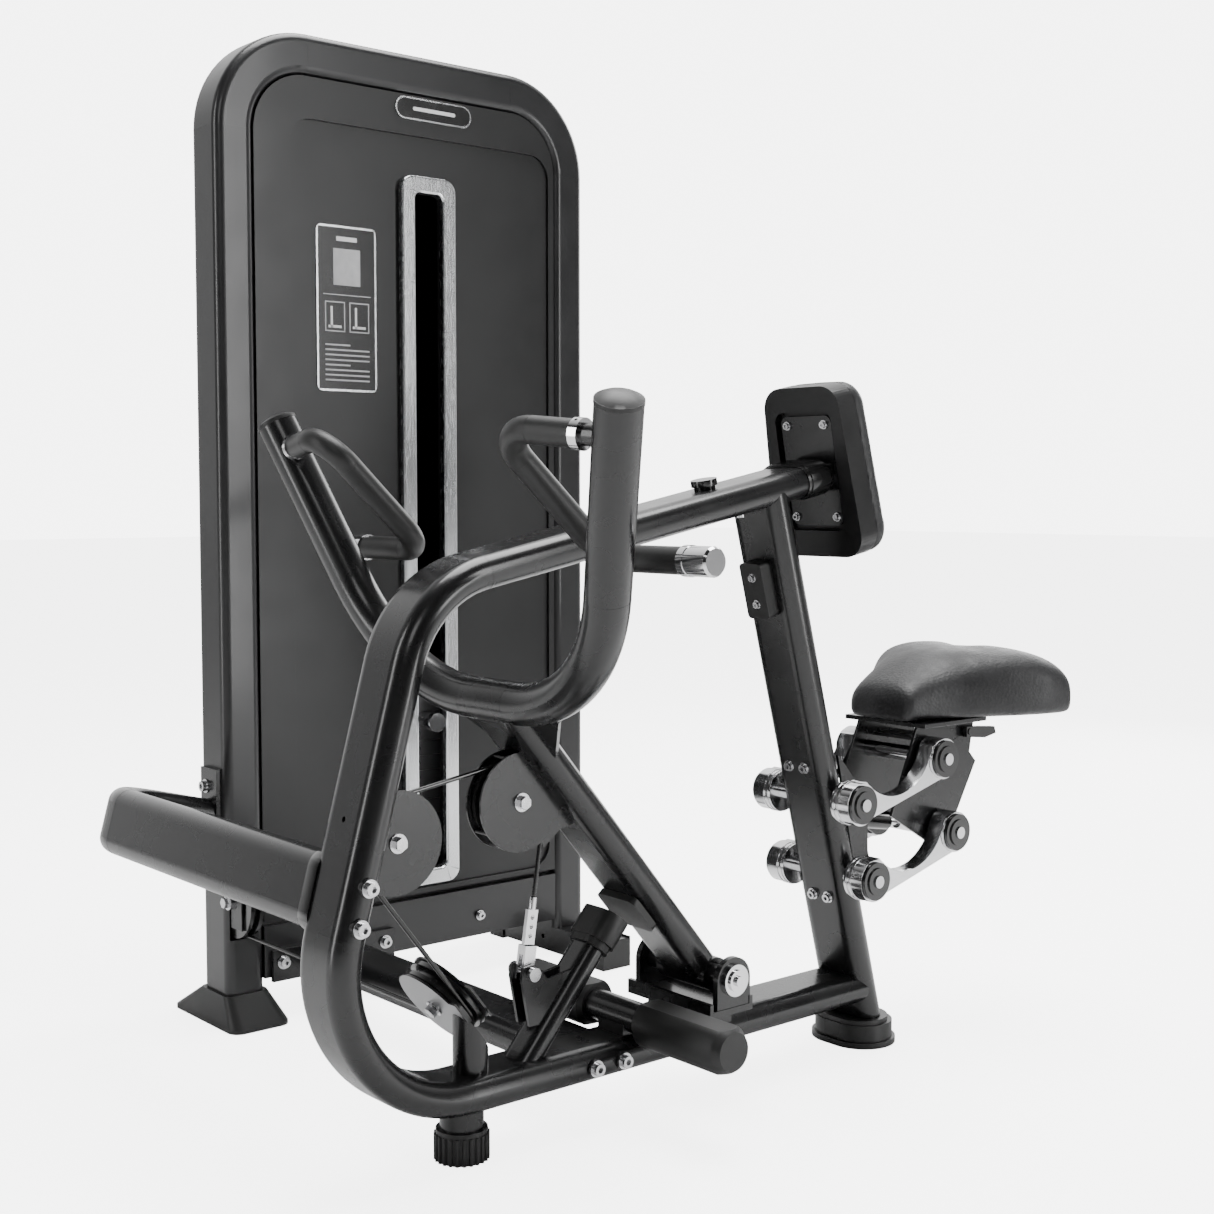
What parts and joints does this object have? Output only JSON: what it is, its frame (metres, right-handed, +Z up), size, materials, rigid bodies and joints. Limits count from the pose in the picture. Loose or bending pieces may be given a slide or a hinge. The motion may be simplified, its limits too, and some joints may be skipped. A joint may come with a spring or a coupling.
{
  "type": "seated row machine",
  "caption": "Pin-selected seated row machine: a bent flat-oval frame with a forked swinging lever, chest pad and adjustable seat beside a shrouded weight tower.",
  "frame": {"origin": "floor under the centre of the round front foot", "axes": "+X from the tower towards the exerciser's left, +Y from the lever towards the seat, +Z up"},
  "size_m": [1.2373, 1.2709, 1.5511],
  "materials": {
    "powder_coat": "satin powder coat",
    "soft_rubber": "matt moulded rubber",
    "chrome": "polished chrome plate",
    "zinc_steel": "zinc plated",
    "moulded_plastic": "fine grained moulding",
    "cast_aluminium": "polished casting",
    "cushion_leather": "grained black cover",
    "cable_jacket": "smooth black jacket",
    "plate_iron": "painted iron"
  },
  "bodies": {
    "frame": {"frame_loop": "powder_coat", "seat_post": "powder_coat", "tie_tubes": "powder_coat", "bumper_post": "powder_coat", "hinge_brackets": "powder_coat", "hinge_shafts": "chrome", "hub_covers": "moulded_plastic", "pulley_brackets": "powder_coat", "axle_bolts": "zinc_steel", "frame_fasteners": "zinc_steel", "foot_bar": "powder_coat", "foot_sleeves": "soft_rubber", "rubber_feet": "soft_rubber", "rubber_stops": "soft_rubber", "plastic_collars": "moulded_plastic", "tower_frame": "powder_coat", "front_shroud": "moulded_plastic", "rear_shroud": "moulded_plastic", "slot_bezel": "cast_aluminium", "front_labels": "zinc_steel", "guide_rods": "chrome", "resting_stack": "plate_iron", "cable_main": "cable_jacket"},
    "front_pulley": {"front_wheel": "moulded_plastic"},
    "floor_pulley": {"floor_wheel": "moulded_plastic"},
    "corner_pulley": {"corner_wheel": "moulded_plastic"},
    "top_pulley_a": {"top_wheel_a": "moulded_plastic"},
    "top_pulley_b": {"top_wheel_b": "moulded_plastic"},
    "lever": {"lever_arm": "powder_coat", "fork": "powder_coat", "lever_rubbers": "soft_rubber", "handle_grips": "soft_rubber", "grip_rings": "chrome", "lever_axle_bolt": "zinc_steel", "cable_wrap": "cable_jacket"},
    "lever_pulley": {"lever_wheel": "moulded_plastic"},
    "anchor_run": {"anchor_fork": "chrome", "cable_a_low": "cable_jacket"},
    "anchor_run_end": {"cable_a_high": "cable_jacket"},
    "lever_run": {"cable_b_near": "cable_jacket"},
    "lever_run_end": {"cable_b_far": "cable_jacket"},
    "stack": {"lifted_stack": "plate_iron", "selector_stem": "chrome", "stack_cable": "cable_jacket"},
    "pin": {"selector_pin": "chrome"},
    "chest_pad": {"pad_tube": "powder_coat", "pad_shell": "moulded_plastic", "pad_bolt_set": "zinc_steel", "pad_cushion": "cushion_leather"},
    "pad_pin": {"pull_pin": "moulded_plastic"},
    "seat_upper": {"upper_arms": "cast_aluminium"},
    "seat_lower": {"lower_arms": "cast_aluminium"},
    "seat_carriage": {"carriage": "powder_coat", "carriage_shafts": "chrome", "carriage_covers": "moulded_plastic", "seat": "cushion_leather"},
    "gas_cylinder": {"spring_cylinder": "powder_coat"},
    "gas_rod": {"spring_rod": "chrome"},
    "seat_release": {"release_handle": "soft_rubber"}
  },
  "joints": [
    {"name": "lever_swing", "type": "hinge", "parent": "frame", "child": "lever", "pos_m": [0, 0.395, 0.171], "axis": [-1, 0, 0], "range_deg": [0, 40]},
    {"name": "stack_lift", "type": "slide", "parent": "frame", "child": "stack", "axis": [0, 0, 1], "range_m": [0, 0.52064], "deforming": ["stack_cable"]},
    {"name": "selector_pull", "type": "slide", "parent": "stack", "child": "pin", "axis": [1, 0, 0], "range_m": [0, 0.12]},
    {"name": "front_pulley_turn", "type": "hinge", "parent": "frame", "child": "front_pulley", "pos_m": [0, -0.102, 0.415], "axis": [1, 0, 0], "range_deg": [0, 585.36]},
    {"name": "floor_pulley_turn", "type": "hinge", "parent": "frame", "child": "floor_pulley", "pos_m": [-0.051, 0.00738, 0.18991], "axis": [0, 0.7915, 0.6112], "range_deg": [-585.36, 0]},
    {"name": "corner_pulley_turn", "type": "hinge", "parent": "frame", "child": "corner_pulley", "pos_m": [-0.65, 0.03855, 0.20055], "axis": [0, 1, 0], "range_deg": [0, 585.36]},
    {"name": "top_pulley_a_turn", "type": "hinge", "parent": "frame", "child": "top_pulley_a", "pos_m": [-0.70716, 0.08918, 1.33], "axis": [0.9927, 0.1208, 0], "range_deg": [-585.36, 0]},
    {"name": "top_pulley_b_turn", "type": "hinge", "parent": "frame", "child": "top_pulley_b", "pos_m": [-0.73884, 0.34937, 1.33], "axis": [0.9927, 0.1208, 0], "range_deg": [-585.36, 0]},
    {"name": "lever_pulley_turn", "type": "hinge", "parent": "lever", "child": "lever_pulley", "pos_m": [0, 0.084, 0.443], "axis": [1, 0, 0], "range_deg": [0, 585.36]},
    {"name": "anchor_run_swing", "type": "hinge", "parent": "frame", "child": "anchor_run", "pos_m": [0, 0.1, 0.219], "axis": [-1, 0, 0], "range_deg": [0, 30.58]},
    {"name": "anchor_run_stretch", "type": "slide", "parent": "anchor_run", "child": "anchor_run_end", "axis": [0, 0.1564, 0.9877], "range_m": [0, 0.20704], "deforming": ["cable_a_high"]},
    {"name": "lever_run_swing", "type": "hinge", "parent": "frame", "child": "lever_run", "pos_m": [0, -0.102, 0.415], "axis": [1, 0, 0], "range_deg": [0, 12.24]},
    {"name": "lever_run_stretch", "type": "slide", "parent": "lever_run", "child": "lever_run_end", "axis": [0, 0.9888, 0.1495], "range_m": [0, 0.27608], "deforming": ["cable_b_far"]},
    {"name": "chest_pad_slide", "type": "slide", "parent": "frame", "child": "chest_pad", "axis": [0, 0.9803, 0.1973], "range_m": [0, 0.1]},
    {"name": "pad_pin_pull", "type": "slide", "parent": "frame", "child": "pad_pin", "axis": [0, -0.1973, 0.9803], "range_m": [0, 0.01]},
    {"name": "seat_upper_swing", "type": "hinge", "parent": "frame", "child": "seat_upper", "pos_m": [0, 0.642, 0.384], "axis": [1, 0, 0], "range_deg": [-28, 18]},
    {"name": "seat_lower_swing", "type": "hinge", "parent": "frame", "child": "seat_lower", "pos_m": [0, 0.672, 0.268], "axis": [1, 0, 0], "range_deg": [-28, 18]},
    {"name": "seat_level", "type": "hinge", "parent": "seat_upper", "child": "seat_carriage", "pos_m": [0, 0.829, 0.4325], "axis": [1, 0, 0], "range_deg": [-18, 28]},
    {"name": "gas_cylinder_swing", "type": "hinge", "parent": "frame", "child": "gas_cylinder", "pos_m": [0, 0.705, 0.342], "axis": [1, 0, 0], "range_deg": [-30.24, 19.44]},
    {"name": "gas_rod_slide", "type": "slide", "parent": "gas_cylinder", "child": "gas_rod", "axis": [0, 0.9866, -0.1634], "range_m": [-0.026, 0.04]},
    {"name": "release_tilt", "type": "hinge", "parent": "seat_carriage", "child": "seat_release", "pos_m": [0.0615, 0.922, 0.463], "axis": [1, 0, 0], "range_deg": [0, 10]}
  ],
  "couplings": [
    {"joint": "stack_lift", "follows": "lever_swing", "m_per_rad": 0.74505},
    {"joint": "front_pulley_turn", "follows": "lever_swing", "ratio": 14.609},
    {"joint": "floor_pulley_turn", "follows": "lever_swing", "ratio": -14.609},
    {"joint": "corner_pulley_turn", "follows": "lever_swing", "ratio": 14.609},
    {"joint": "top_pulley_a_turn", "follows": "lever_swing", "ratio": -14.609},
    {"joint": "top_pulley_b_turn", "follows": "lever_swing", "ratio": -14.609},
    {"joint": "lever_pulley_turn", "follows": "lever_swing", "ratio": 5.8009},
    {"joint": "anchor_run_swing", "follows": "lever_swing", "ratio": 0.76332},
    {"joint": "anchor_run_stretch", "follows": "lever_swing", "m_per_rad": 0.29585},
    {"joint": "lever_run_swing", "follows": "lever_swing", "ratio": 0.30471},
    {"joint": "lever_run_stretch", "follows": "lever_swing", "m_per_rad": 0.39474},
    {"joint": "seat_lower_swing", "follows": "seat_upper_swing", "ratio": 1},
    {"joint": "seat_level", "follows": "seat_upper_swing", "ratio": -1},
    {"joint": "gas_cylinder_swing", "follows": "seat_upper_swing", "ratio": 1.08},
    {"joint": "gas_rod_slide", "follows": "seat_upper_swing", "m_per_rad": -0.078}
  ]
}
